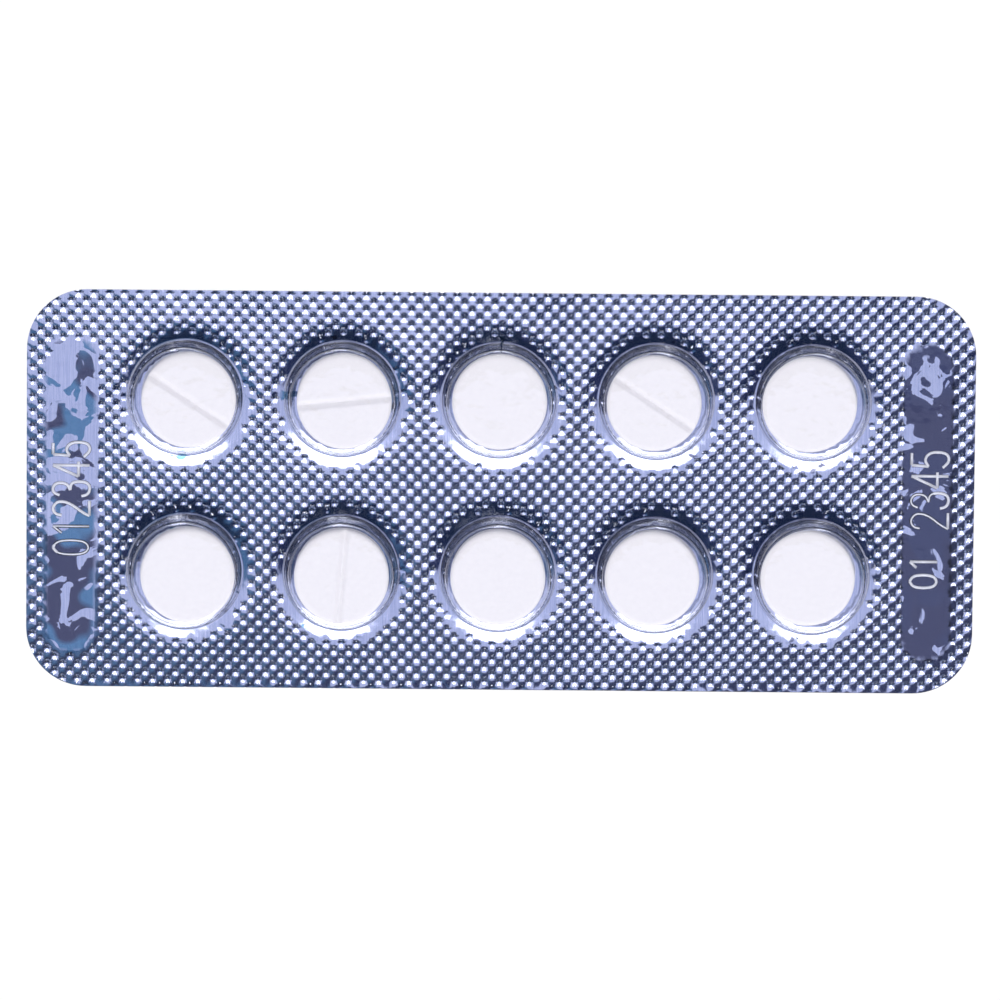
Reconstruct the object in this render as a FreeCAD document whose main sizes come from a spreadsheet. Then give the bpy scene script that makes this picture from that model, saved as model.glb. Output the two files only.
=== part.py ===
import FreeCAD, Part
import math
import os
import Sketcher

# Pill blister pack, in millimetres. The pack lies on its foil with the pockets up.
# Origin: centre of the foil's underside. +X runs along the pack, +Y across it, +Z up.

# Driving sizes: name, value, meaning
SIZES = [
    ("pocket_columns", 5, "pockets along the pack"),
    ("pocket_rows", 2, "pockets across the pack"),
    ("column_gap", 4.2, "web between the feet of two pockets along the pack"),
    ("row_gap", 6.0, "web between the feet of two pockets across the pack"),
    ("end_margin", 10.35, "web from the last pocket's foot to the pack's end, on average"),
    ("side_margin", 5.5, "web from a pocket's foot to the pack's long edge, on average"),
    ("array_shift_x", -0.2, "how far the field of pockets sits off the pack's centre along it"),
    ("array_shift_y", 0.5, "how far the field of pockets sits off the pack's centre across it"),
    ("corner_radius", 6.0, "round of the pack's corners"),
    ("foil_thickness", 0.03, "hard aluminium lidding"),
    ("web_thickness", 0.25, "clear film where it is flat"),
    ("wall_thickness", 0.15, "clear film where it is drawn into a pocket"),
    ("draft_degrees", 6.0, "lean of a pocket's wall from upright"),
    ("foot_radius", 0.3, "outer round where a pocket's wall meets the web"),
    ("mouth_radius", 0.25, "inner round at the pocket's mouth"),
    ("shoulder_radius", 0.7, "outer round between a pocket's wall and its flat top"),
    ("head_room", 0.5, "free height over a tablet"),
    ("side_play", 0.48, "free space beside a tablet at the height of its upper face"),
    ("tablet_diameter", 9.5, "round tablet"),
    ("tablet_thickness", 3.5, "tablet from face to face"),
    ("bevel_width", 0.45, "tablet's bevel, seen from above"),
    ("bevel_height", 0.4, "tablet's bevel, seen from the side"),
    ("score_width", 0.9, "break line across one face, at the face"),
    ("score_depth", 0.45, "break line, down to its bottom"),
]

# Where each tablet has come to rest in its pocket, row by row from the back left one:
# shares of the side play along X and Y, turn of the break line in degrees, break line up
TABLETS_AT_REST = [
    (0.92, -0.10, -33.0, True),
    (0.52, -0.10, 6.0, True),
    (0.10, 0.06, 64.0, False),
    (-0.52, 0.06, -33.5, True),
    (-0.92, 0.10, 20.0, False),
    (0.88, -0.28, -58.0, False),
    (0.18, -0.30, 85.5, True),
    (0.05, -0.20, 12.0, False),
    (-0.58, -0.10, -71.0, False),
    (-0.90, 0.24, 38.0, False),
]

# Outcomes of the driving sizes, as the document's own expressions
FOOT_DIAMETER = (
    "(sizes.tablet_diameter"
    " + 2 * sizes.tablet_thickness * tan(sizes.draft_degrees * 1deg)"
    " + 2 * (sizes.side_play + sizes.wall_thickness) / cos(sizes.draft_degrees * 1deg))"
)
PITCH_X = f"({FOOT_DIAMETER} + sizes.column_gap)"
PITCH_Y = f"({FOOT_DIAMETER} + sizes.row_gap)"
FIELD_X = f"((sizes.pocket_columns - 1) * {PITCH_X})"
FIELD_Y = f"((sizes.pocket_rows - 1) * {PITCH_Y})"
PACK_LENGTH = f"({FIELD_X} + {FOOT_DIAMETER} + 2 * sizes.end_margin)"
PACK_WIDTH = f"({FIELD_Y} + {FOOT_DIAMETER} + 2 * sizes.side_margin)"
FIRST_X = f"(sizes.array_shift_x - {FIELD_X} / 2)"
FIRST_Y = f"(sizes.array_shift_y + {FIELD_Y} / 2)"
HOLLOW_TOP = "(sizes.tablet_thickness + sizes.head_room)"
POCKET_TOP = "(sizes.tablet_thickness + sizes.head_room + sizes.wall_thickness)"
RIM_RADIUS = "(sizes.tablet_diameter / 2)"

# A constraint's names for the sketch's origin, its vertical axis and a curve's ends
ORIGIN, Y_AXIS = -1, -2
START, END = 1, 2
UP = FreeCAD.Vector(0, 0, 1)


def sheet_of_sizes(doc):
    """The driving sizes, one row each: name, value, meaning."""
    sheet = doc.addObject("Spreadsheet::Sheet", "sizes")
    for row, (name, value, meaning) in enumerate(SIZES, start=1):
        sheet.set(f"A{row}", name)
        sheet.set(f"B{row}", str(value))
        sheet.set(f"C{row}", meaning)
        sheet.setAlias(f"B{row}", name)
    doc.recompute()
    return sheet


def value_of(sheet, expression):
    """The number that an expression on the sizes comes to."""
    found = sheet.evalExpression(expression)
    return float(getattr(found, "Value", found))


def origin_plane(body, role):
    return next(f for f in body.Origin.OriginFeatures if f.Role == role)


def new_sketch(body, name, role):
    """An empty sketch on one of the body's own origin planes."""
    sketch = body.newObject("Sketcher::SketchObject", name)
    sketch.AttachmentSupport = [(origin_plane(body, role), "")]
    sketch.MapMode = "FlatFace"
    return sketch


def hold(sketch, constraint, expression):
    """Adds a constraint whose value follows an expression on the sizes."""
    index = sketch.addConstraint(constraint)
    sketch.setExpression(f"Constraints[{index}]", expression)


def pin(sketch, geometry, point, place, x, y):
    """Holds a point of the sketch at expressions for its two coordinates."""
    relation = (ORIGIN, START, geometry, point)
    hold(sketch, Sketcher.Constraint("DistanceX", *relation, place.x), x)
    hold(sketch, Sketcher.Constraint("DistanceY", *relation, place.y), y)


def polygon(sketch, sheet, corners):
    """A closed outline of straight lines through corners given as pairs of expressions."""
    points = [
        FreeCAD.Vector(value_of(sheet, x), value_of(sheet, y), 0) for x, y in corners
    ]
    count = len(points)
    for i in range(count):
        sketch.addGeometry(Part.LineSegment(points[i], points[(i + 1) % count]), False)
    for i in range(count):
        sketch.addConstraint(
            Sketcher.Constraint("Coincident", i, END, (i + 1) % count, START)
        )
    for i, (x, y) in enumerate(corners):
        pin(sketch, i, START, points[i], x, y)


def pocket_profile(sketch, sheet, low, high, wall, foot, shoulder):
    """Half of a pocket's section, right of its axis, between the heights low and high.

    wall is the wall's distance from the tablet's upper rim. The wall leans by the
    draft, and meets the low and high lines in rounds of the radii foot and shoulder.
    """
    low_y, high_y, skin, foot_r, shoulder_r = (
        value_of(sheet, e) for e in (low, high, wall, foot, shoulder)
    )
    draft = math.radians(sheet.draft_degrees)
    lean = FreeCAD.Vector(-math.sin(draft), math.cos(draft), 0)
    outward = FreeCAD.Vector(math.cos(draft), math.sin(draft), 0)
    rim = FreeCAD.Vector(value_of(sheet, RIM_RADIUS), float(sheet.tablet_thickness), 0)
    on_wall = rim + outward * skin

    def along_wall(inset, height):
        """The point inset inside the wall's line, at a height."""
        start = on_wall - outward * inset
        return start + lean * ((height - start.y) / lean.y)

    foot_centre = along_wall(-foot_r, low_y + foot_r)
    shoulder_centre = along_wall(shoulder_r, high_y - shoulder_r)
    foot_start = FreeCAD.Vector(foot_centre.x, low_y, 0)
    foot_end = foot_centre - outward * foot_r
    shoulder_start = shoulder_centre + outward * shoulder_r
    shoulder_end = FreeCAD.Vector(shoulder_centre.x, high_y, 0)
    low_axis = FreeCAD.Vector(0, low_y, 0)
    high_axis = FreeCAD.Vector(0, high_y, 0)

    def arc(centre, radius, first, last):
        """A round, anticlockwise from one angle to another."""
        return Part.ArcOfCircle(Part.Circle(centre, UP, radius), first, last)

    floor, foot_arc, side, shoulder_arc, top, axis, guide = range(7)
    quarter = math.pi / 2
    sketch.addGeometry(Part.LineSegment(low_axis, foot_start), False)
    sketch.addGeometry(arc(foot_centre, foot_r, 2 * quarter + draft, 3 * quarter), False)
    sketch.addGeometry(Part.LineSegment(foot_end, shoulder_start), False)
    sketch.addGeometry(arc(shoulder_centre, shoulder_r, draft, quarter), False)
    sketch.addGeometry(Part.LineSegment(shoulder_end, high_axis), False)
    sketch.addGeometry(Part.LineSegment(high_axis, low_axis), False)
    sketch.addGeometry(Part.LineSegment(rim, on_wall), True)
    relation = Sketcher.Constraint
    for constraint in (
        relation("Tangent", floor, END, foot_arc, END),
        relation("Tangent", foot_arc, START, side, START),
        relation("Tangent", side, END, shoulder_arc, START),
        relation("Tangent", shoulder_arc, END, top, START),
        relation("Coincident", top, END, axis, START),
        relation("Coincident", axis, END, floor, START),
        relation("Horizontal", floor),
        relation("Horizontal", top),
        relation("PointOnObject", axis, START, Y_AXIS),
        relation("PointOnObject", axis, END, Y_AXIS),
        relation("PointOnObject", guide, END, side),
        relation("Perpendicular", guide, side),
    ):
        sketch.addConstraint(constraint)
    pin(sketch, guide, START, rim, RIM_RADIUS, "sizes.tablet_thickness")
    for constraint, expression in (
        (relation("DistanceY", ORIGIN, START, floor, START, low_y), low),
        (relation("DistanceY", ORIGIN, START, top, END, high_y), high),
        (relation("Radius", foot_arc, foot_r), foot),
        (relation("Radius", shoulder_arc, shoulder_r), shoulder),
        (relation("Distance", guide, skin), wall),
        (relation("Angle", axis, END, side, START, draft), "sizes.draft_degrees * 1deg"),
    ):
        hold(sketch, constraint, expression)


def over_the_field(body, name, feature):
    """Repeats a feature of the first pocket over all columns and rows."""
    pattern = body.newObject("PartDesign::LinearPattern", name)
    pattern.Originals = [feature]
    pattern.Direction = (origin_plane(body, "X_Axis"), [""])
    pattern.Mode = "Extent"
    pattern.setExpression("Length", FIELD_X)
    pattern.setExpression("Occurrences", "sizes.pocket_columns")
    pattern.Direction2 = (origin_plane(body, "Y_Axis"), [""])
    pattern.Reversed2 = True
    pattern.Mode2 = "Extent"
    pattern.setExpression("Length2", FIELD_Y)
    pattern.setExpression("Occurrences2", "sizes.pocket_rows")
    body.Tip = pattern


def pocket_turning(body, sheet, kind, name, **profile):
    """A full turn of a pocket's section about the first pocket's axis."""
    sketch = new_sketch(body, f"{name}_section", "XZ_Plane")
    sketch.setExpression("AttachmentOffset.Base.x", FIRST_X)
    sketch.setExpression("AttachmentOffset.Base.z", f"-{FIRST_Y}")
    pocket_profile(sketch, sheet, **profile)
    turning = body.newObject(kind, name)
    turning.Profile = sketch
    turning.ReferenceAxis = (sketch, ["V_Axis"])
    turning.Angle = 360
    return turning


def rounded_plate(doc, sheet, label, thickness):
    """A flat sheet of the pack's outline with round corners."""
    body = doc.addObject("PartDesign::Body", label)
    body.Label = label
    outline = new_sketch(body, f"{label}_outline", "XY_Plane")
    right, back = f"{PACK_LENGTH} / 2", f"{PACK_WIDTH} / 2"
    left, front = f"-{right}", f"-{back}"
    polygon(
        outline, sheet, [(left, front), (right, front), (right, back), (left, back)]
    )
    pad = body.newObject("PartDesign::Pad", f"{label}_plate")
    pad.Profile = outline
    pad.setExpression("Length", thickness)
    doc.recompute()
    upright = [
        f"Edge{i}"
        for i, edge in enumerate(pad.Shape.Edges, start=1)
        if abs(edge.tangentAt(edge.FirstParameter).z) > 0.99
    ]
    corners = body.newObject("PartDesign::Fillet", f"{label}_corners")
    corners.Base = (pad, upright)
    corners.setExpression("Radius", "sizes.corner_radius")
    doc.recompute()
    return body


def lidding_foil(doc, sheet):
    """The sheet of hard foil under the film, which a tablet is pushed out through."""
    return rounded_plate(doc, sheet, "lidding_foil", "sizes.foil_thickness")


def blister_film(doc, sheet):
    """The clear film: a flat web with the pockets drawn up out of it."""
    body = rounded_plate(doc, sheet, "blister_film", "sizes.web_thickness")
    body.setExpression("Placement.Base.z", "sizes.foil_thickness")
    domes = pocket_turning(
        body,
        sheet,
        "PartDesign::Revolution",
        "pocket_outside",
        low="sizes.web_thickness",
        high=POCKET_TOP,
        wall="sizes.side_play + sizes.wall_thickness",
        foot="sizes.foot_radius",
        shoulder="sizes.shoulder_radius",
    )
    over_the_field(body, "pockets_outside", domes)
    doc.recompute()
    hollows = pocket_turning(
        body,
        sheet,
        "PartDesign::Groove",
        "pocket_inside",
        low="0",
        high=HOLLOW_TOP,
        wall="sizes.side_play",
        foot="sizes.mouth_radius",
        shoulder="sizes.shoulder_radius - sizes.wall_thickness",
    )
    over_the_field(body, "pockets_inside", hollows)
    doc.recompute()
    return body


def tablet(doc, sheet, row, column):
    """One round tablet with bevelled rims and a break line across one face."""
    number = row * int(sheet.pocket_columns) + column + 1
    label = f"tablet_{number}"
    share_x, share_y, turn, break_line_up = TABLETS_AT_REST[
        (number - 1) % len(TABLETS_AT_REST)
    ]
    body = doc.addObject("PartDesign::Body", label)
    body.Label = label
    section = new_sketch(body, f"{label}_section", "XZ_Plane")
    face = f"{RIM_RADIUS} - sizes.bevel_width"
    low, high = "sizes.bevel_height", "sizes.tablet_thickness - sizes.bevel_height"
    polygon(
        section,
        sheet,
        [
            ("0", "0"),
            (face, "0"),
            (RIM_RADIUS, low),
            (RIM_RADIUS, high),
            (face, "sizes.tablet_thickness"),
            ("0", "sizes.tablet_thickness"),
        ],
    )
    turned = body.newObject("PartDesign::Revolution", f"{label}_disc")
    turned.Profile = section
    turned.ReferenceAxis = (section, ["V_Axis"])
    turned.Angle = 360
    doc.recompute()
    notch = new_sketch(body, f"{label}_notch", "XZ_Plane")
    half = "sizes.score_width / 2"
    bottom = "sizes.tablet_thickness - sizes.score_depth"
    polygon(
        notch,
        sheet,
        [
            (f"-{half}", "sizes.tablet_thickness"),
            ("0", bottom),
            (half, "sizes.tablet_thickness"),
        ],
    )
    score = body.newObject("PartDesign::Pocket", f"{label}_break_line")
    score.Profile = notch
    score.Type = "ThroughAll"
    score.Midplane = True
    place_tablet(body, row, column, share_x, share_y, turn, break_line_up)
    doc.recompute()
    return body


def place_tablet(body, row, column, share_x, share_y, turn, break_line_up):
    """Lays a tablet flat on the foil in its pocket, off centre within its side play."""
    pocket_x = f"{FIRST_X} + {column} * {PITCH_X}"
    pocket_y = f"{FIRST_Y} - {row} * {PITCH_Y}"
    spin = FreeCAD.Rotation(UP, turn - 90)
    if break_line_up:
        height = "sizes.foil_thickness"
    else:
        height = "sizes.foil_thickness + sizes.tablet_thickness"
        spin = spin * FreeCAD.Rotation(FreeCAD.Vector(1, 0, 0), 180)
    body.Placement = FreeCAD.Placement(FreeCAD.Vector(), spin)
    body.setExpression("Placement.Base.x", f"{pocket_x} + {share_x} * sizes.side_play")
    body.setExpression("Placement.Base.y", f"{pocket_y} + {share_y} * sizes.side_play")
    body.setExpression("Placement.Base.z", height)


def check(doc, bodies):
    """Stops with a plain message if a feature failed or a piece has no sound solid."""
    for item in doc.Objects:
        if {"Invalid", "Error"} & set(item.State):
            raise RuntimeError(f"{item.Name} failed: {item.State}")
    for body in bodies:
        if body.Shape.isNull() or not body.Shape.isValid():
            raise RuntimeError(f"{body.Label} has no valid shape")
        if len(body.Shape.Solids) != 1:
            raise RuntimeError(f"{body.Label} is {len(body.Shape.Solids)} solids")


def build():
    doc = FreeCAD.newDocument("blister_pack")
    sheet = sheet_of_sizes(doc)
    bodies = [lidding_foil(doc, sheet), blister_film(doc, sheet)]
    for row in range(int(sheet.pocket_rows)):
        for column in range(int(sheet.pocket_columns)):
            bodies.append(tablet(doc, sheet, row, column))
    doc.recompute()
    check(doc, bodies)
    os.makedirs("parts", exist_ok=True)
    for body in bodies:
        body.Shape.exportStep(f"parts/{body.Label}.step")
        print(body.Label, round(body.Shape.Volume, 3), body.Shape.BoundBox)


build()
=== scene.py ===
import math

import bpy
import numpy as np
from mathutils import Matrix, Vector
from mathutils.geometry import delaunay_2d_cdt


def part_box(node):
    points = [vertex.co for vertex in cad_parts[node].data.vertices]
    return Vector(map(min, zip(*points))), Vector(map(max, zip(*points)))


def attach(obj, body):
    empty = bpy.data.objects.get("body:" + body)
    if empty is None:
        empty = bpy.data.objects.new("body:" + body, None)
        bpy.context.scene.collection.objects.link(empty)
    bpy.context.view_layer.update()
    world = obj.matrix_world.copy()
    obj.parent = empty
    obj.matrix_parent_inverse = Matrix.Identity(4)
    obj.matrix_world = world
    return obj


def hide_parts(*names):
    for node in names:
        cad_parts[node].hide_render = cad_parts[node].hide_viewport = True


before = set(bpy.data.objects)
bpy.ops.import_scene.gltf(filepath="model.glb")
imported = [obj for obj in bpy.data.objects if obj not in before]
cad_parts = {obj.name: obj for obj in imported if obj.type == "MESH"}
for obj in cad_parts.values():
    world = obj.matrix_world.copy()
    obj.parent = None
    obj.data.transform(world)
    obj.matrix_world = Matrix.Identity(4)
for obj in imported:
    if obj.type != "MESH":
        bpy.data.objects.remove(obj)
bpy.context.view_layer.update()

MM = 0.001

# The pack's outline in millimetres, from the solids and a hair inside them
FOIL_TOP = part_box("lidding_foil")[1].z / MM
PACK_HIGH = [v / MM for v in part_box("blister_film")[1]]
RIM_INSET = 0.01
HALF_LENGTH = PACK_HIGH[0] - RIM_INSET
HALF_WIDTH = PACK_HIGH[1] - RIM_INSET
POCKET_TOP = PACK_HIGH[2]
CORNER_RADIUS = 6.0

# The field of pockets and a pocket's section, as in the solids
COLUMNS, ROWS = 5, 2
COLUMN_GAP, ROW_GAP = 4.2, 6.0
DRAFT = math.radians(6.0)
TABLET_RADIUS, TABLET_THICKNESS = 4.75, 3.5
SIDE_PLAY, WALL, WEB = 0.48, 0.15, 0.25
FOOT_ROUND, MOUTH_ROUND, SHOULDER_ROUND = 0.3, 0.25, 0.7
FOOT_RADIUS = (
    TABLET_RADIUS
    + TABLET_THICKNESS * math.tan(DRAFT)
    + (SIDE_PLAY + WALL) / math.cos(DRAFT)
)
PITCH_X = 2 * FOOT_RADIUS + COLUMN_GAP
PITCH_Y = 2 * FOOT_RADIUS + ROW_GAP
FIELD_SHIFT_X, FIELD_SHIFT_Y = -0.2, 0.5
POCKETS = [
    (
        FIELD_SHIFT_X + (column - (COLUMNS - 1) / 2) * PITCH_X,
        FIELD_SHIFT_Y + ((ROWS - 1) / 2 - row) * PITCH_Y,
    )
    for row in range(ROWS)
    for column in range(COLUMNS)
]

# The seal's knurling: round studs on a diagonal lattice, with shallow waves between them
STUD_PITCH_X, STUD_PITCH_Y = 1.513, 1.492
STUD_ORIGIN_X, STUD_ORIGIN_Y = -0.70, -0.50
STUD_SLOPE, STUD_CROWN, STUD_FOOT = 0.31, 0.34, 0.375
STUD_RINGS = ((STUD_CROWN / 2, 6), (STUD_CROWN, 12), (STUD_FOOT, 12))
LEAST_STUD = 0.3
WEB_SLOPE, WEB_SADDLE = 0.030, 0.265
UNDERSIDE_SHARE = 0.12

# The smooth places, without studs: an oval round each pocket and a panel at each end
RING_HALF_X, RING_HALF_Y, RING_DROP = 6.25, 6.75, 0.35
PANELS = [(-43.0, -0.8), (42.8, -0.8)]
PANEL_HALF_WIDTH, PANEL_HALF_HEIGHT = 2.6, 16.0

# How the sealed sheet rises towards the pockets and waves a little
BULGE_SLOPE, BULGE_END, BULGE_SOFT = 0.09, 7.3, 0.6
BULGE_START = FOOT_RADIUS - 0.6
WARP_HEIGHT = 0.02
SEALED_IN = 0.018

# How the foil's shine leans beyond its shape: taut at the pockets, curled as a whole
TAUT_ACROSS, TAUT_ALONG = 0.83, 1.5
CURL_X, CURL_Y, CURL_TWIST = 0.0017, 0.0009, 0.0012
DISH_LEAN, DISH_INNER, DISH_OUTER = 0.03, (4.2, 4.7), (5.8, 6.0)
TWIST_LEFT, TWIST_RIGHT = -38, 6
PANEL_LEAN, PANEL_TURN = 0.032, 0.0004

# How much of the foil gets darker patches of painted reflection of the dark room: on the seal,
# and from foot to head of a panel
PAINTED_DARK_SEAL, PAINTED_DARK_LEFT, PAINTED_DARK_RIGHT = 0.10, (0.66, 0.41), (0.84, 0.64)

# The meshes' fineness
RIM_STEP = 0.5
TOP_GRID, UNDERSIDE_GRID, UNDERSIDE_SIDES = 0.62, 1.1, 5
STUD_CLEARANCE, FLAT_CLEARANCE = 0.12, 0.2
FILM_SIDES, FILM_STEP = 96, 1.3
FILM_RINGS = (0.3, 0.65, 1.0, 1.3, 1.6, 1.9, 2.2)
FILM_OPEN, FOOT_FADE = 2.5, 0.8
RING_CLEARANCE, GRID_CLEARANCE = 0.3, 0.5
ARC_STEPS = 5
TABLET_SIDES, TABLET_RINGS, EDGE_RINGS = 128, 18, 7


def stadium_distance(x, y, centre):
    """How far a point lies outside an upright panel with round ends."""
    px = np.abs(x - centre[0])
    py = np.maximum(np.abs(y - centre[1]) - (PANEL_HALF_HEIGHT - PANEL_HALF_WIDTH), 0)
    return np.hypot(px, py) - PANEL_HALF_WIDTH


def plate_distance(x, y):
    """How far a point lies outside the pack's outline, negative inside."""
    px = np.abs(x) - (HALF_LENGTH - CORNER_RADIUS)
    py = np.abs(y) - (HALF_WIDTH - CORNER_RADIUS)
    outside = np.hypot(np.maximum(px, 0), np.maximum(py, 0))
    return outside + np.minimum(np.maximum(px, py), 0) - CORNER_RADIUS


def smoothstep(low, high, value):
    """0 below one limit and 1 above the other, with a soft step between them."""
    share = np.clip((value - low) / (high - low), 0, 1)
    return share * share * (3 - 2 * share)


def relief(x, y):
    """The height of the sealed web above its flat rest: it rises towards each pocket."""
    rise = np.zeros(np.shape(x))
    for px, py in POCKETS:
        away = np.maximum(np.hypot(x - px, y - py), BULGE_START)
        reach = BULGE_END - away
        bend = np.clip(reach + BULGE_SOFT, 0, 2 * BULGE_SOFT) ** 2 / (4 * BULGE_SOFT)
        rise = np.maximum(
            rise, BULGE_SLOPE * np.where(reach > BULGE_SOFT, reach, bend)
        )
    wave = (
        np.sin(x * 0.41 + 0.8 * np.sin(y * 0.23 + 1.0))
        * np.cos(y * 0.36 + 0.9 * np.sin(x * 0.17))
        + 1
    )
    return rise + WARP_HEIGHT * wave


def smooth_depth(x, y):
    """How deep a point lies in a smooth place, in millimetres, negative outside."""
    depth = np.full(np.shape(x), -9.0)
    for px, py in POCKETS:
        across = (x - px) / RING_HALF_X
        along = (y - py + RING_DROP) / RING_HALF_Y
        depth = np.maximum(depth, (1 - np.hypot(across, along)) * RING_HALF_X)
    for centre in PANELS:
        depth = np.maximum(depth, -stadium_distance(x, y, centre))
    return depth


def stud_size(x, y):
    """How full the stud at a lattice point is: fainter at the edge of a smooth place."""
    whole = 1 - smoothstep(-0.15, 0.25, smooth_depth(x, y))
    inner = smoothstep(0.0, 0.25, -plate_distance(x, y))
    vary = 0.93 + 0.07 * np.sin(x * 7.3 + 1.7 * np.sin(y * 5.1)) * np.cos(y * 9.7 - x)
    return whole * inner * vary


def nearest_stud(x, y):
    """The lattice point nearest to a place, of the two nested lattices, and how far it is."""
    found = []
    for shift in (0.0, 0.5):
        column = np.round((x - STUD_ORIGIN_X) / STUD_PITCH_X - shift)
        row = np.round((y - STUD_ORIGIN_Y) / STUD_PITCH_Y - shift)
        cx = (column + shift) * STUD_PITCH_X + STUD_ORIGIN_X
        cy = (row + shift) * STUD_PITCH_Y + STUD_ORIGIN_Y
        found.append((cx, cy, np.hypot(x - cx, y - cy)))
    first, second = found
    closer = second[2] < first[2]
    return [np.where(closer, b, a) for a, b in zip(first, second)]


def web_height(x, y):
    """The pressed web between the studs: shallow waves along both diagonals."""
    across = (x - STUD_ORIGIN_X) / STUD_PITCH_X
    along = (y - STUD_ORIGIN_Y) / STUD_PITCH_Y
    rise = WEB_SLOPE * STUD_PITCH_X / (2 * math.pi * math.sqrt(2))
    waves = 1 + np.cos(2 * math.pi * across) * np.cos(2 * math.pi * along)
    pressed = 1 - smoothstep(-0.5, 0.0, smooth_depth(x, y))
    return 2 * rise * waves * pressed


def stud_height(x, y):
    """The studs' own height: a shallow crown that turns into a short foot."""
    cx, cy, away = nearest_stud(x, y)
    size = stud_size(cx, cy)
    size = np.where(size > LEAST_STUD, size, 0)
    r = np.minimum(away, STUD_FOOT)
    foot = STUD_SLOPE * (STUD_FOOT - r) ** 2 / (2 * (STUD_FOOT - STUD_CROWN))
    crown = STUD_SLOPE * (
        (STUD_CROWN**2 - r**2) / (2 * STUD_CROWN) + (STUD_FOOT - STUD_CROWN) / 2
    )
    return size * np.where(r < STUD_CROWN, crown, foot)


def stud_centres():
    """Centres of all studs of the knurling that stand out at all."""
    columns = int(HALF_LENGTH / STUD_PITCH_X) + 2
    rows = int(HALF_WIDTH / STUD_PITCH_Y) + 2
    centres = [
        (
            (column + shift) * STUD_PITCH_X + STUD_ORIGIN_X,
            (row + shift) * STUD_PITCH_Y + STUD_ORIGIN_Y,
        )
        for shift in (0.0, 0.5)
        for row in range(-rows, rows + 1)
        for column in range(-columns, columns + 1)
    ]
    spots = np.array(centres)
    return spots[stud_size(spots[:, 0], spots[:, 1]) > LEAST_STUD]


def outline_points(step):
    """Points round the pack's outline, anticlockwise."""
    points = []
    straight_x = HALF_LENGTH - CORNER_RADIUS
    straight_y = HALF_WIDTH - CORNER_RADIUS
    turns = max(2, round(CORNER_RADIUS * math.pi / 2 / step))
    for quarter in range(4):
        start = quarter * math.pi / 2
        cx = straight_x * (1 if quarter in (0, 3) else -1)
        cy = straight_y * (1 if quarter in (0, 1) else -1)
        for i in range(turns + 1):
            a = start + math.pi / 2 * i / turns
            points.append(
                (cx + CORNER_RADIUS * math.cos(a), cy + CORNER_RADIUS * math.sin(a))
            )
        run = 2 * (straight_x if quarter in (0, 2) else straight_y)
        pieces = max(2, round(run / step))
        last = points[-1]
        direction = start + math.pi
        for i in range(1, pieces):
            reach = run * i / pieces
            points.append(
                (
                    last[0] + reach * math.cos(direction),
                    last[1] + reach * math.sin(direction),
                )
            )
    return points


def circle_points(centre, radius, count, turn=0.0):
    """Points round a circle; the turn is a share of the step between two of them."""
    return [
        (
            centre[0] + radius * math.cos(2 * math.pi * (i + turn) / count),
            centre[1] + radius * math.sin(2 * math.pi * (i + turn) / count),
        )
        for i in range(count)
    ]


def new_piece(name, verts, faces, material):
    """A mesh piece on the one body, from points in millimetres."""
    mesh = bpy.data.meshes.new(name)
    mesh.from_pydata([(x * MM, y * MM, z * MM) for x, y, z in verts], [], faces)
    mesh.validate()
    mesh.update()
    mesh.shade_smooth()
    piece = bpy.data.objects.new(name, mesh)
    bpy.context.scene.collection.objects.link(piece)
    mesh.materials.append(material)
    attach(piece, "root")
    return piece


def closed_sheet(top, top_faces, bottom, bottom_faces, rim):
    """Joins an upper and a lower sheet along their first rim points into one solid."""
    verts = list(top) + list(bottom)
    base = len(top)
    faces = [tuple(f) for f in top_faces]
    faces += [tuple(base + i for i in reversed(f)) for f in bottom_faces]
    for i in range(rim):
        j = (i + 1) % rim
        faces.append((i, base + i, base + j, j))
    return verts, faces


def triangulated(points, loops):
    """Triangles of points in the plane, with the loops of points kept as edges."""
    edges = []
    for first, count in loops:
        edges += [(first + i, first + (i + 1) % count) for i in range(count)]
    found = delaunay_2d_cdt([Vector(p) for p in points], edges, [], 0, 1e-7)
    return [tuple(v) for v in found[0]], found[2]


def foil_plan(rings, webbed, grid):
    """Plan points of one side of the foil: its rim first, then studs and flats."""
    rim = outline_points(RIM_STEP)
    points = list(rim)
    for cx, cy in stud_centres():
        points.append((cx, cy))
        for ring, (reach, sides) in enumerate(rings):
            points += circle_points((cx, cy), reach, sides, 0.5 * (ring % 2))
        if webbed:
            low = (cx + STUD_PITCH_X / 2, cy)
            points.append(low)
            points += circle_points(low, WEB_SADDLE, 4, 0.5)
    points = np.array(points)
    keep = plate_distance(points[:, 0], points[:, 1]) < -STUD_CLEARANCE
    keep[: len(rim)] = True
    points = points[keep]
    columns = int(HALF_LENGTH / grid) + 1
    rows = int(HALF_WIDTH / grid) + 1
    x, y = np.meshgrid(
        np.arange(-columns, columns + 1) * grid, np.arange(-rows, rows + 1) * grid
    )
    x, y = x.ravel(), y.ravel()
    cx, cy, _ = nearest_stud(x, y)
    flat = stud_size(cx, cy) <= LEAST_STUD
    flat &= plate_distance(x, y) < -FLAT_CLEARANCE
    points = np.concatenate([points, np.stack([x[flat], y[flat]], axis=1)])
    return [tuple(p) for p in points], len(rim)


def pressing(x, y):
    """The knurling's height: the waves of the web with the studs on them."""
    return web_height(x, y) + stud_height(x, y)


def foil_height(x, y):
    """The height of the foil's upper side above the table."""
    return FOIL_TOP + relief(x, y) + pressing(x, y)


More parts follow.
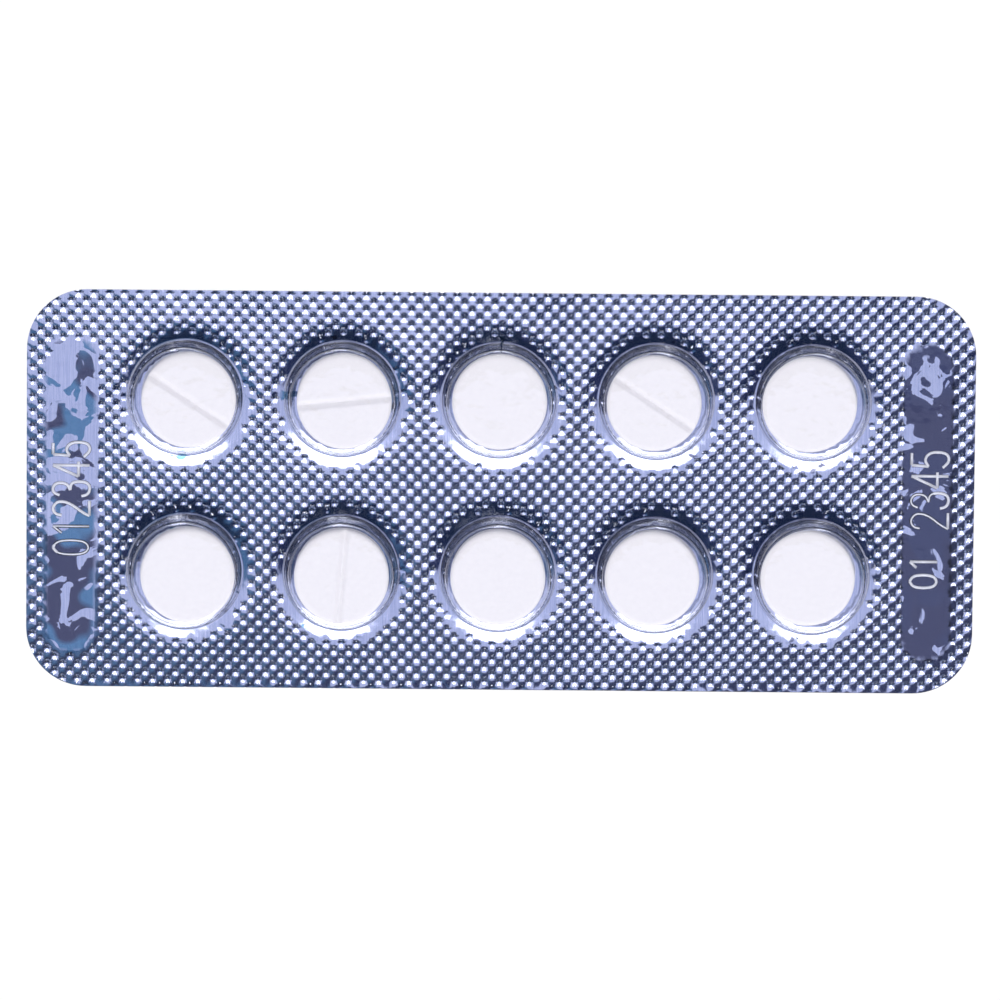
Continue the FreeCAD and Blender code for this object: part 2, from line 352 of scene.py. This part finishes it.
def foil_lean(x, y):
    """The sheet's upward slope along X and Y, with its tautness and the faint curl."""
    step = 0.01
    along_x = (pressing(x + step, y) - pressing(x - step, y)) / (2 * step)
    along_y = (pressing(x, y + step) - pressing(x, y - step)) / (2 * step)
    along_x += TAUT_ACROSS * (relief(x + step, y) - relief(x - step, y)) / (2 * step)
    along_y += TAUT_ALONG * (relief(x, y + step) - relief(x, y - step)) / (2 * step)
    twist = CURL_TWIST * (1 - smoothstep(TWIST_LEFT, TWIST_RIGHT, x))
    curl = (CURL_Y + twist) * y
    for centre in PANELS:
        share = smoothstep(0.0, 0.4, -stadium_distance(x, y, centre))
        curl += share * (PANEL_LEAN + PANEL_TURN * y - curl)
    along_x, along_y = along_x + CURL_X * x, along_y + curl
    for px, py in POCKETS:
        away = np.hypot(x - px, y - py) + 1e-6
        dish = DISH_LEAN * smoothstep(*DISH_INNER, away) * (1 - smoothstep(*DISH_OUTER, away))
        along_x -= dish * (x - px) / away
        along_y -= dish * (y - py) / away
    return along_x, along_y


def sheet_normals(x, y, side):
    """Normals of the upper side (1) or of the underside (-1) of the foil."""
    lean_x, lean_y = foil_lean(x, y)
    long = np.sqrt(lean_x**2 + lean_y**2 + 1)
    return side * np.stack([-lean_x / long, -lean_y / long, 1 / long], axis=1)


def build_foil(material):
    """The foil: a thin closed sheet, studded on both sides."""
    points, rim = foil_plan(STUD_RINGS, True, TOP_GRID)
    plan, top_faces = triangulated(points, [(0, rim)])
    x = np.array([p[0] for p in plan])
    y = np.array([p[1] for p in plan])
    top = list(zip(x, y, foil_height(x, y)))
    points, rim = foil_plan(((STUD_CROWN, UNDERSIDE_SIDES),), False, UNDERSIDE_GRID)
    low_plan, low_faces = triangulated(points, [(0, rim)])
    low_x = np.array([p[0] for p in low_plan])
    low_y = np.array([p[1] for p in low_plan])
    low_z = relief(low_x, low_y) + UNDERSIDE_SHARE * pressing(low_x, low_y)
    bottom = list(zip(low_x, low_y, low_z))
    verts, faces = closed_sheet(top, top_faces, bottom, low_faces, rim)
    piece = new_piece("foil_sheet", verts, faces, material)
    normals = np.concatenate(
        [sheet_normals(x, y, 1), sheet_normals(low_x, low_y, -1)]
    )
    set_sheet_normals(piece.data, normals, len(top_faces) + len(low_faces))
    every_x = np.array([v[0] for v in verts])
    every_y = np.array([v[1] for v in verts])
    store(piece.data, "smooth", smoothstep(0.0, 0.12, smooth_depth(every_x, every_y)))
    # The share of painted dark reflection that the material reads
    store(piece.data, "painted_dark", painted_dark_share(every_x, every_y))
    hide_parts("lidding_foil")


def painted_dark_share(x, y):
    """How much of the foil gets darker patches of painted reflection, by place."""
    height = (y + PANEL_HALF_HEIGHT) / (2 * PANEL_HALF_HEIGHT)
    left, right = (
        foot + (head - foot) * height for foot, head in (PAINTED_DARK_LEFT, PAINTED_DARK_RIGHT)
    )
    share = np.where(x < PANELS[0][0] + 3, left, PAINTED_DARK_SEAL)
    return np.where(x > PANELS[1][0] - 3, right, share)


def store(mesh, name, values):
    """Keeps a value for each point of a mesh, for its material to read."""
    layer = mesh.attributes.new(name, "FLOAT", "POINT")
    layer.data.foreach_set("value", values.astype(np.float32))


def set_sheet_normals(mesh, normals, sheet_faces):
    """Gives both sides of the sheet exact normals, and leaves the rim sharp."""
    mesh.set_sharp_from_angle(angle=math.radians(50))
    loops = [tuple(loop.vector) for loop in mesh.corner_normals]
    for polygon in mesh.polygons[:sheet_faces]:
        for loop in polygon.loop_indices:
            loops[loop] = tuple(normals[mesh.loops[loop].vertex_index])
    mesh.normals_split_custom_set(loops)


def wall_profile(skin, low, high, foot, shoulder):
    """A pocket's wall from its foot circle to the flat top: pairs of radius and height."""
    nx, nz = math.cos(DRAFT), math.sin(DRAFT)
    wall_x = TABLET_RADIUS + nx * skin
    wall_z = TABLET_THICKNESS + nz * skin

    def on_wall(inset, height):
        x0, z0 = wall_x - nx * inset, wall_z - nz * inset
        return x0 - math.tan(DRAFT) * (height - z0)

    profile = []
    foot_z = low + foot
    foot_x = on_wall(-foot, foot_z)
    for i in range(ARC_STEPS + 1):
        a = math.pi * 1.5 - (math.pi / 2 - DRAFT) * i / ARC_STEPS
        profile.append((foot_x + foot * math.cos(a), foot_z + foot * math.sin(a)))
    top_z = high - shoulder
    top_x = on_wall(shoulder, top_z)
    first = profile[-1]
    last = (top_x + shoulder * nx, top_z + shoulder * nz)
    for share in (0.33, 0.67):
        profile.append(tuple(f + (t - f) * share for f, t in zip(first, last)))
    for i in range(ARC_STEPS * 2 + 1):
        a = DRAFT + (math.pi / 2 - DRAFT) * i / (ARC_STEPS * 2)
        profile.append((top_x + shoulder * math.cos(a), top_z + shoulder * math.sin(a)))
    for share in (0.66, 0.33):
        profile.append((top_x * share, high))
    return profile


def film_side(profile, level, rim_points):
    """One side of the film: its web with the pockets' walls, rim points first."""
    sides = FILM_SIDES
    rim = len(rim_points)
    points = list(rim_points)
    loops = [(0, rim)]
    for centre in POCKETS:
        loops.append((len(points), sides))
        points += circle_points(centre, profile[0][0], sides)
    for centre in POCKETS:
        for extra in FILM_RINGS:
            for p in circle_points(centre, profile[0][0] + extra, sides // 2):
                if plate_distance(np.float64(p[0]), np.float64(p[1])) < -RING_CLEARANCE:
                    points.append(p)
    columns = int(HALF_LENGTH / FILM_STEP)
    rows = int(HALF_WIDTH / FILM_STEP)
    for i in range(-columns, columns + 1):
        for j in range(-rows, rows + 1):
            x, y = i * FILM_STEP, j * FILM_STEP
            far = min(math.hypot(x - px, y - py) for px, py in POCKETS)
            if far > profile[0][0] + FILM_OPEN:
                if plate_distance(np.float64(x), np.float64(y)) < -GRID_CLEARANCE:
                    points.append((x, y))
    plan, faces = triangulated(points, loops)
    kept = []
    for face in faces:
        cx = sum(plan[i][0] for i in face) / len(face)
        cy = sum(plan[i][1] for i in face) / len(face)
        far = min(math.hypot(cx - px, cy - py) for px, py in POCKETS)
        if far > profile[0][0] * 0.999:
            kept.append(tuple(face))
    x = np.array([p[0] for p in plan])
    y = np.array([p[1] for p in plan])
    z = level + relief(x, y)
    verts = list(zip(x, y, z))
    faces = kept
    for index, centre in enumerate(POCKETS):
        lower = [rim + index * sides + i for i in range(sides)]
        foot_rise = [verts[i][2] - level for i in lower]
        for radius, height in profile[1:]:
            fade = 1 - smoothstep(0.0, FOOT_FADE, np.float64(height - profile[0][1]))
            start = len(verts)
            for i in range(sides):
                a = 2 * math.pi * i / sides
                verts.append(
                    (
                        centre[0] + radius * math.cos(a),
                        centre[1] + radius * math.sin(a),
                        height + foot_rise[i] * fade,
                    )
                )
            upper = list(range(start, start + sides))
            for i in range(sides):
                j = (i + 1) % sides
                faces.append((lower[i], lower[j], upper[j], upper[i]))
            lower = upper
        verts.append((centre[0], centre[1], profile[-1][1]))
        tip = len(verts) - 1
        for i in range(sides):
            faces.append((lower[i], lower[(i + 1) % sides], tip))
    return verts, faces


def build_film(material):
    """The clear film: a web with drawn pockets, one closed solid."""
    rim_points = outline_points(RIM_STEP)
    web_top = FOIL_TOP + WEB
    outer = wall_profile(
        SIDE_PLAY + WALL, web_top, POCKET_TOP, FOOT_ROUND, SHOULDER_ROUND
    )
    inner = wall_profile(
        SIDE_PLAY, FOIL_TOP, POCKET_TOP - WALL, MOUTH_ROUND, SHOULDER_ROUND - WALL
    )
    top, top_faces = film_side(outer, web_top, rim_points)
    bottom, bottom_faces = film_side(inner, FOIL_TOP - SEALED_IN, rim_points)
    verts, faces = closed_sheet(top, top_faces, bottom, bottom_faces, len(rim_points))
    piece = new_piece("film_sheet", verts, faces, material)
    piece.data.set_sharp_from_angle(angle=math.radians(50))
    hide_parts("blister_film")


# Tablets: the line's direction in degrees, and whether it faces up

TABLET_LINES = [
    (-33, True), (6, True), (64, False), (-33.5, True), (20, False),
    (-58, False), (85.5, True), (12, False), (-71, False), (38, False),
]
EDGE_WIDTH, EDGE_ROUND, EDGE_SLOPE = 0.45, 0.30, 0.10
LINE_HALF_WIDTH, LINE_DEPTH = 0.48, 0.50


def tablet_face(turn, lined):
    """Rings of one face, from the centre out to its rim: radius, and depth by angle."""
    flat = TABLET_RADIUS - EDGE_WIDTH
    radii = [0.0] + list(np.linspace(0.25, flat, TABLET_RINGS))
    drops = [0.0] * len(radii)
    for i in range(1, EDGE_RINGS + 1):
        a = math.pi / 2 * i / EDGE_RINGS
        radii.append(flat + EDGE_WIDTH * math.sin(a))
        drops.append(EDGE_ROUND * (1 - math.cos(a)) + EDGE_SLOPE * (i / EDGE_RINGS) ** 2)
    rings = []
    for radius, drop in zip(radii, drops):
        angles = 2 * math.pi * np.arange(TABLET_SIDES) / TABLET_SIDES
        across = radius * np.sin(angles - math.radians(turn))
        notch = np.clip(1 - np.abs(across) / LINE_HALF_WIDTH, 0, 1)
        sunk = LINE_DEPTH * notch * notch * (3 - 2 * notch)
        depth = np.maximum(sunk, drop) if lined else np.full(TABLET_SIDES, drop)
        rings.append((radius, angles, depth))
    return rings


def build_tablet(number, material):
    """A pressed tablet in place of its solid, with softened edges."""
    node = f"tablet_{number}"
    low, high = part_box(node)
    centre = (low + high) / 2 / MM
    bottom_z, top_z = low.z / MM, high.z / MM
    turn, up = TABLET_LINES[number - 1]
    verts, faces = [], []
    for lined, level, sign in ((up, top_z, -1), (not up, bottom_z, 1)):
        rings = tablet_face(turn, lined)
        start = len(verts)
        for ring, (radius, angles, depth) in enumerate(rings):
            if ring == 0:
                verts.append((centre.x, centre.y, level + sign * depth[0]))
                continue
            for a, d in zip(angles, depth):
                verts.append(
                    (
                        centre.x + radius * math.cos(a),
                        centre.y + radius * math.sin(a),
                        level + sign * d,
                    )
                )
        for i in range(TABLET_SIDES):
            j = (i + 1) % TABLET_SIDES
            tip = (start, start + 1 + i, start + 1 + j)
            faces.append(tip if sign < 0 else tip[::-1])
            for ring in range(1, len(rings) - 1):
                inner = start + 1 + (ring - 1) * TABLET_SIDES
                outer = inner + TABLET_SIDES
                quad = (inner + i, outer + i, outer + j, inner + j)
                faces.append(quad if sign < 0 else quad[::-1])
        if sign < 0:
            upper = len(verts) - TABLET_SIDES
    lower = len(verts) - TABLET_SIDES
    for i in range(TABLET_SIDES):
        j = (i + 1) % TABLET_SIDES
        faces.append((lower + i, lower + j, upper + j, upper + i))
    piece = new_piece(f"pressed_tablet_{number}", verts, faces, material)
    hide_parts(node)


# Raised digits in the end panels: plain rising numbers, read from the side

DIGIT_STROKES = {
    "0": [
        [
            (0.5, 1), (0.9, 0.88), (1, 0.5), (0.9, 0.12), (0.5, 0),
            (0.1, 0.12), (0, 0.5), (0.1, 0.88), (0.5, 1),
        ],
    ],
    "1": [
        [(0.15, 0.76), (0.6, 1)],
        [(0.6, 1), (0.6, 0)],
    ],
    "2": [
        [
            (0.02, 0.76), (0.1, 0.94), (0.5, 1.02), (0.92, 0.9),
            (0.95, 0.7), (0.75, 0.48), (0.2, 0.18), (0, 0),
        ],
        [(0, 0), (1, 0)],
    ],
    "3": [
        [(0.05, 0.82), (0.2, 0.98), (0.55, 1.02), (0.9, 0.9), (0.85, 0.62), (0.4, 0.53)],
        [
            (0.4, 0.53), (0.9, 0.5), (1, 0.24), (0.85, 0.02),
            (0.45, -0.02), (0.1, 0.05), (0, 0.22),
        ],
    ],
    "4": [
        [(0.75, 0), (0.75, 1)],
        [(0.75, 1), (0, 0.3)],
        [(0, 0.3), (1, 0.3)],
    ],
    "5": [
        [(0.92, 1), (0.16, 1)],
        [(0.16, 1), (0.08, 0.54)],
        [
            (0.08, 0.54), (0.5, 0.66), (0.95, 0.52), (1, 0.22),
            (0.85, 0.02), (0.4, -0.02), (0, 0.16),
        ],
    ],
}

# Each group of digits: its text, the line its feet stand on, where it starts, and the
# height, pitch and width of a digit
DIGIT_GROUPS = [
    ("012345", -41.2, -6.75, 3.65, 1.975, 1.5),
    ("01", 43.9, -9.35, 2.75, 1.85, 1.35),
    ("2345", 44.9, -3.35, 3.7, 2.05, 1.6),
]
DIGIT_REACH, DIGIT_RISE = 0.13, 0.08
STROKE_SECTION = [
    (-2.0, -0.25), (-1.0, 0.12), (-0.6, 0.7), (-0.2, 1.0),
    (0.2, 1.0), (0.6, 0.7), (1.0, 0.12), (2.0, -0.25),
]
LEAST_HEIGHT = 0.004


def rounded(points):
    """A polyline with its inner corners cut twice."""
    if len(points) < 3:
        return points
    for _ in range(2):
        soft = [points[0]]
        for (x0, y0), (x1, y1) in zip(points, points[1:]):
            soft.append((0.75 * x0 + 0.25 * x1, 0.75 * y0 + 0.25 * y1))
            soft.append((0.25 * x0 + 0.75 * x1, 0.25 * y0 + 0.75 * y1))
        soft.append(points[-1])
        points = soft
    return points


def stroke_ridge(line, verts, faces):
    """Adds a low rounded ridge along a line on the foil."""
    first = len(verts)
    for i, (x, y) in enumerate(line):
        x0, y0 = line[max(i - 1, 0)]
        x1, y1 = line[min(i + 1, len(line) - 1)]
        long = math.hypot(x1 - x0, y1 - y0)
        side_x, side_y = -(y1 - y0) / long, (x1 - x0) / long
        base = FOIL_TOP + float(relief(np.float64(x), np.float64(y)))
        for across, up in STROKE_SECTION:
            verts.append(
                (
                    x + side_x * across * DIGIT_REACH,
                    y + side_y * across * DIGIT_REACH,
                    max(base + up * DIGIT_RISE, LEAST_HEIGHT),
                )
            )
    width = len(STROKE_SECTION)
    for i in range(len(line) - 1):
        low = first + i * width
        for j in range(width):
            k = (j + 1) % width
            faces.append((low + j, low + k, low + width + k, low + width + j))
    last = first + (len(line) - 1) * width
    faces.append(tuple(range(first, first + width)))
    faces.append(tuple(reversed(range(last, last + width))))


def build_digits(material, stroke_shade):
    """The stamped digits of both panels, with painted shade on the foil along the sides of
    their strokes.
    """
    verts, faces = [], []
    for text, foot_x, start_y, height, pitch, width in DIGIT_GROUPS:
        for place, sign in enumerate(text):
            for stroke in DIGIT_STROKES[sign]:
                line = [
                    (foot_x - v * height, start_y + place * pitch + u * width)
                    for u, v in rounded(stroke)
                ]
                stroke_ridge(line, verts, faces)
    piece = new_piece("raised_digits", verts, faces, material)
    # The lower faces of each stroke take the painted shade material
    piece.data.materials.append(stroke_shade)
    crest = FOIL_TOP + 0.3 * DIGIT_RISE
    for polygon in piece.data.polygons:
        heights = [piece.data.vertices[i].co.z / MM for i in polygon.vertices]
        polygon.material_index = int(min(heights) < crest)


# Materials


class Nodes:
    """The node tree of a material, or of the world, built from short calls."""

    def __init__(self, name):
        if name == "world":
            self.owner = bpy.data.worlds.new("studio")
            kind = "ShaderNodeOutputWorld"
        else:
            self.owner = bpy.data.materials.new(name)
            kind = "ShaderNodeOutputMaterial"
        self.owner.use_nodes = True
        self.tree = self.owner.node_tree
        self.tree.nodes.clear()
        self.output = self.add(kind)

    def add(self, kind, **settings):
        node = self.tree.nodes.new(kind)
        for name, value in settings.items():
            setattr(node, name, value)
        return node

    def link(self, source, target):
        self.tree.links.new(source, target)

    def math(self, operation, a, b=0.0, c=0.0, clamp=False):
        node = self.add("ShaderNodeMath", operation=operation, use_clamp=clamp)
        for socket, value in zip(node.inputs, (a, b, c)):
            if hasattr(value, "is_output"):
                self.link(value, socket)
            else:
                socket.default_value = value
        return node.outputs[0]

    def noise(self, vector, scale, detail=2.0, roughness=0.5, distortion=0.0):
        node = self.add("ShaderNodeTexNoise")
        node.inputs["Scale"].default_value = scale
        node.inputs["Detail"].default_value = detail
        node.inputs["Roughness"].default_value = roughness
        node.inputs["Distortion"].default_value = distortion
        self.link(vector, node.inputs["Vector"])
        return node.outputs["Fac"]

    def mapped(self, scale):
        """Object coordinates, in millimetres, stretched by a scale for each axis."""
        place = self.add("ShaderNodeTexCoord")
        mapping = self.add("ShaderNodeMapping")
        mapping.inputs["Scale"].default_value = [s / MM for s in scale]
        self.link(place.outputs["Object"], mapping.inputs["Vector"])
        return mapping.outputs["Vector"]

    def rgb(self, colour):
        node = self.add("ShaderNodeRGB")
        node.outputs[0].default_value = (*colour, 1)
        return node.outputs[0]

    def attribute(self, name):
        return self.add("ShaderNodeAttribute", attribute_name=name).outputs["Fac"]

    def axis(self, vector, name, low=0.0, high=1.0):
        """0 at one place along an axis and 1 at the other."""
        split = self.add("ShaderNodeSeparateXYZ")
        self.link(vector, split.inputs[0])
        share = self.add("ShaderNodeMapRange")
        share.inputs["From Min"].default_value = low
        share.inputs["From Max"].default_value = high
        self.link(split.outputs[name], share.inputs["Value"])
        return share.outputs["Result"]

    def mixed_colour(self, share, first, second):
        node = self.add("ShaderNodeMix", data_type="RGBA")
        self.link(share, node.inputs["Factor"])
        self.link(first, node.inputs["A"])
        self.link(second, node.inputs["B"])
        return node.outputs["Result"]

    def mixed_shader(self, share, first, second):
        node = self.add("ShaderNodeMixShader")
        self.link(share, node.inputs[0])
        self.link(first, node.inputs[1])
        self.link(second, node.inputs[2])
        return node.outputs[0]

    def ramp(self, factor, stops):
        node = self.add("ShaderNodeValToRGB")
        elements = node.color_ramp.elements
        while len(elements) < len(stops):
            elements.new(0.5)
        for element, (position, colour) in zip(elements, stops):
            element.position = position
            element.color = (*colour, 1.0)
        self.link(factor, node.inputs["Fac"])
        return node.outputs["Color"]

    def bump(self, height, distance, normal=None):
        """Raises the surface by a height of 0 to 1 times a distance in millimetres."""
        node = self.add("ShaderNodeBump")
        node.inputs["Strength"].default_value = 1.0
        node.inputs["Distance"].default_value = distance * MM
        self.link(height, node.inputs["Height"])
        if normal is not None:
            self.link(normal, node.inputs["Normal"])
        return node.outputs["Normal"]


def foil_material():
    """Rolled aluminium foil, with darker patches painted on as reflections of the dark room.
    """
    n = Nodes("foil_metal")
    shader = n.add("ShaderNodeBsdfPrincipled")
    shader.inputs["Metallic"].default_value = 1.0
    plan = n.mapped((1, 1, 1))
    streaks = n.noise(n.mapped((11, 0.22, 1)), 1.0, detail=4.0, roughness=0.7)
    bright = n.ramp(streaks, [(0.35, (0.68, 0.73, 0.88)), (0.65, (0.90, 0.92, 1.0))])
    # Darker patches on the smooth places are painted reflection of the dark room, steel blue
    # on the left and grey on the right
    patch = n.noise(plan, 0.36, detail=3.0, roughness=0.45, distortion=0.9)
    painted_dark = n.attribute("painted_dark")
    edge = n.math("SUBTRACT", n.math("MULTIPLY_ADD", painted_dark, 0.46, 0.27), patch)
    edge = n.math("MULTIPLY", edge, 60.0, clamp=True)
    edge = n.math("MULTIPLY", edge, n.attribute("smooth"))
    dark = n.add("ShaderNodeMix", data_type="RGBA", blend_type="MULTIPLY")
    n.link(edge, dark.inputs["Factor"])
    n.link(bright, dark.inputs["A"])
    side = n.axis(plan, "X", -15, 15)
    painted_reflection_tint = n.ramp(side, [(0.0, (0.24, 0.46, 0.56)), (1.0, (0.15, 0.16, 0.22))])
    shade = n.noise(plan, 0.22, detail=1.0)
    shade = n.ramp(shade, [(0.46, (0.0, 0.0, 0.0)), (0.54, (1.0, 1.0, 1.0))])
    n.link(n.mixed_colour(shade, painted_reflection_tint, n.rgb((0.15, 0.15, 0.20))), dark.inputs["B"])
    n.link(dark.outputs["Result"], shader.inputs["Base Color"])
    crinkle = n.noise(plan, 0.25, detail=2.0, roughness=0.45, distortion=0.2)
    normal = n.bump(crinkle, 0.02)
    normal = n.bump(streaks, 0.0006, normal)
    n.link(normal, shader.inputs["Normal"])
    n.link(n.math("MULTIPLY_ADD", streaks, 0.05, 0.04), shader.inputs["Roughness"])
    n.link(shader.outputs[0], n.output.inputs["Surface"])
    return n.owner


def digit_material():
    """The raised strokes of the digits, scuffed by the stamp."""
    n = Nodes("stamped_metal")
    shader = n.add("ShaderNodeBsdfPrincipled")
    shader.inputs["Metallic"].default_value = 0.4
    scuff = n.noise(n.mapped((1, 1, 1)), 5.0, detail=3.0)
    tint = n.ramp(scuff, [(0.3, (0.86, 0.88, 0.96)), (0.7, (0.96, 0.97, 1.0))])
    n.link(tint, shader.inputs["Base Color"])
    n.link(n.math("MULTIPLY_ADD", scuff, 0.15, 0.36), shader.inputs["Roughness"])
    n.link(n.bump(scuff, 0.01), shader.inputs["Normal"])
    n.link(shader.outputs[0], n.output.inputs["Surface"])
    return n.owner


def stroke_shade_material():
    """The foil along the raised strokes' sides, tinted dark blue as painted shade."""
    n = Nodes("painted_stroke_shade")
    shader = n.add("ShaderNodeBsdfPrincipled")
    shader.inputs["Metallic"].default_value = 1.0
    shader.inputs["Roughness"].default_value = 0.16
    shade_tone = n.noise(n.mapped((1, 1, 1)), 3.0, detail=2.0)
    # Dark blue base colour: painted shade along the strokes' sides
    tint = n.ramp(shade_tone, [(0.35, (0.16, 0.22, 0.36)), (0.65, (0.42, 0.48, 0.62))])
    n.link(tint, shader.inputs["Base Color"])
    n.link(shader.outputs[0], n.output.inputs["Surface"])
    return n.owner


def film_material():
    """Clear stiff film, a shade blue, that lets the lamps through."""
    n = Nodes("clear_film")
    shader = n.add("ShaderNodeBsdfPrincipled")
    shader.inputs["Base Color"].default_value = (0.985, 0.98, 1.0, 1.0)
    shader.inputs["Transmission Weight"].default_value = 1.0
    shader.inputs["IOR"].default_value = 1.5
    shader.inputs["Roughness"].default_value = 0.03
    plan = n.mapped((1, 1, 1))
    ripples = n.noise(plan, 0.5, detail=2.0)
    n.link(n.bump(ripples, 0.03), shader.inputs["Normal"])
    clear = n.add("ShaderNodeBsdfTransparent")
    clear.inputs["Color"].default_value = (0.99, 0.985, 1.0, 1.0)
    path = n.add("ShaderNodeLightPath")
    straight = n.math("MAXIMUM", path.outputs["Is Shadow Ray"], path.outputs["Is Diffuse Ray"])
    mixed = n.mixed_shader(straight, shader.outputs[0], clear.outputs[0])
    n.link(mixed, n.output.inputs["Surface"])
    return n.owner


def tablet_material():
    """White pressed powder, faintly grained."""
    n = Nodes("pressed_tablet")
    shader = n.add("ShaderNodeBsdfPrincipled")
    plan = n.mapped((1, 1, 1))
    grain = n.noise(plan, 2.2, detail=6.0, roughness=0.7)
    colour = n.ramp(grain, [(0.3, (0.91, 0.90, 0.90)), (0.7, (0.96, 0.95, 0.945))])
    n.link(colour, shader.inputs["Base Color"])
    shader.inputs["Roughness"].default_value = 0.62
    powder = n.noise(plan, 6.0, detail=6.0, roughness=0.75)
    n.link(n.bump(powder, 0.02), shader.inputs["Normal"])
    n.link(shader.outputs[0], n.output.inputs["Surface"])
    return n.owner


def floor_material():
    """A white table top that shows as plain white, and keeps the pack's soft shadow."""
    n = Nodes("white_table")
    diffuse = n.add("ShaderNodeBsdfDiffuse")
    diffuse.inputs["Color"].default_value = (0.95, 0.95, 0.95, 1)
    glow = n.add("ShaderNodeEmission")
    glow.inputs["Strength"].default_value = 1.03
    path = n.add("ShaderNodeLightPath")
    seen = n.math("MAXIMUM", path.outputs["Is Camera Ray"], path.outputs["Is Glossy Ray"])
    seen = n.math("MAXIMUM", seen, path.outputs["Is Transmission Ray"])
    share = n.math("MULTIPLY", seen, 0.85)
    mixed = n.mixed_shader(share, diffuse.outputs[0], glow.outputs[0])
    n.link(mixed, n.output.inputs["Surface"])
    return n.owner


# Stage, light and camera, in millimetres

TABLE_REACH, TABLE_GAP = 3000.0, 0.02
LAMP_REACH = 3000.0
EDGE_SHARE, EDGE_BEND, EDGE_LIMIT, EDGE_SHARPNESS = -0.066, 1.5, 0.15, 70.0
CAMERA_DISTANCE = 850.0
CAMERA_LEAN = math.radians(6.0)
CAMERA_ROLL = math.radians(0.52)
VIEW_WIDTH = 100.25
SENSOR = 36.0
AIM = (-0.03, -0.82, 0.3)


def build_floor():
    """A wide table top, a hair below the pack."""
    reach = TABLE_REACH * MM
    signs = ((-1, -1), (1, -1), (1, 1), (-1, 1))
    corners = [(reach * across, reach * along, 0) for across, along in signs]
    mesh = bpy.data.meshes.new("table_top")
    mesh.from_pydata(corners, [], [(0, 1, 2, 3)])
    floor = bpy.data.objects.new("table_top", mesh)
    floor.location.z = -TABLE_GAP * MM
    bpy.context.scene.collection.objects.link(floor)
    mesh.materials.append(floor_material())


def far_lamp(name, across, along, size, radiance):
    """A round lamp, in a direction given by its X and Y shares, aimed at the pack."""
    data = bpy.data.lights.new(name, "AREA")
    data.shape = "DISK"
    data.size = size * MM
    data.energy = radiance * math.pi * (math.pi * data.size**2 / 4)
    lamp = bpy.data.objects.new(name, data)
    bpy.context.scene.collection.objects.link(lamp)
    up = math.sqrt(1 - across**2 - along**2)
    place = Vector((across * LAMP_REACH, along * LAMP_REACH, up * LAMP_REACH)) * MM
    aim = (-place).to_track_quat("-Z", "Y")
    lamp.matrix_world = Matrix.Translation(place) @ aim.to_matrix().to_4x4()
    lamp.visible_camera = False


def build_lights():
    """A wide key in front, and a small lamp behind that gives the studs their glints."""
    far_lamp("front_key", 0.0, -0.62, 2100, 2.3)
    far_lamp("back_spot", 0.01, 0.30, 340, 2.4)


def build_world():
    """A pale room low down, lavender towards the front and nearly black at the back."""
    n = Nodes("world")
    bpy.context.scene.world = n.owner
    toward = n.add("ShaderNodeTexCoord").outputs["Generated"]
    height = n.axis(toward, "Z")
    front = n.ramp(
        height,
        [
            (0.10, (0.95, 0.95, 1.0)),
            (0.60, (0.66, 0.70, 0.95)),
            (0.88, (0.55, 0.60, 0.85)),
            (0.97, (0.50, 0.545, 0.79)),
        ],
    )
    dark = n.mixed_colour(
        n.axis(toward, "X", 0.17, 0.04),
        n.rgb((0.085, 0.175, 0.320)),
        n.rgb((0.026, 0.034, 0.090)),
    )
    far = n.rgb((0.012, 0.020, 0.048))
    dark = n.mixed_colour(n.axis(toward, "Y", -0.02, 0.12), dark, far)
    back = n.ramp(
        height,
        [
            (0.10, (0.90, 0.92, 1.0)),
            (0.45, (0.42, 0.47, 0.68)),
            (0.68, (0.20, 0.25, 0.38)),
            (0.84, (0.008, 0.010, 0.030)),
        ],
    )
    back = n.mixed_colour(n.axis(toward, "Z", 0.86, 0.98), back, dark)
    split = n.add("ShaderNodeSeparateXYZ")
    n.link(toward, split.inputs[0])
    bend = n.math("POWER", n.math("ABSOLUTE", split.outputs["X"]), 2.0)
    bend = n.math("MINIMUM", n.math("MULTIPLY", bend, EDGE_BEND), EDGE_LIMIT)
    edge = n.math("ADD", split.outputs["Y"], bend)
    edge = n.math("SUBTRACT", EDGE_SHARE, edge)
    edge = n.math("MULTIPLY", edge, EDGE_SHARPNESS, clamp=True)
    room = n.mixed_colour(edge, back, front)
    path = n.add("ShaderNodeLightPath")
    seen, fill, white = (n.add("ShaderNodeBackground") for _ in range(3))
    n.link(room, seen.inputs["Color"])
    around = n.mixed_colour(
        n.axis(toward, "Y", -0.7, 0.7), n.rgb((0.97, 0.975, 1.0)), n.rgb((0.71, 0.715, 0.75))
    )
    n.link(around, fill.inputs["Color"])
    white.inputs["Color"].default_value = (1, 1, 1, 1)
    lit = n.mixed_shader(path.outputs["Is Diffuse Ray"], seen.outputs[0], fill.outputs[0])
    lit = n.mixed_shader(path.outputs["Is Camera Ray"], lit, white.outputs[0])
    n.link(lit, n.output.inputs["Surface"])


def build_camera():
    """A long lens nearly overhead, a little towards the back of the pack."""
    data = bpy.data.cameras.new("camera")
    data.sensor_width = SENSOR
    data.lens = SENSOR * CAMERA_DISTANCE / VIEW_WIDTH
    data.clip_start, data.clip_end = 0.01, 20.0
    camera = bpy.data.objects.new("camera", data)
    bpy.context.scene.collection.objects.link(camera)
    back = Vector((0, math.sin(CAMERA_LEAN), math.cos(CAMERA_LEAN)))
    place = (Vector(AIM) + back * CAMERA_DISTANCE) * MM
    turn = Matrix.Rotation(-CAMERA_LEAN, 4, "X") @ Matrix.Rotation(CAMERA_ROLL, 4, "Z")
    camera.matrix_world = Matrix.Translation(place) @ turn
    bpy.context.scene.camera = camera


def dress():
    """Builds every piece of the pack with its material."""
    build_foil(foil_material())
    build_film(film_material())
    build_digits(digit_material(), stroke_shade_material())
    white = tablet_material()
    for number in range(1, COLUMNS * ROWS + 1):
        build_tablet(number, white)


dress()
build_floor()
build_lights()
build_world()
build_camera()
bpy.context.scene.view_settings.view_transform = "Standard"
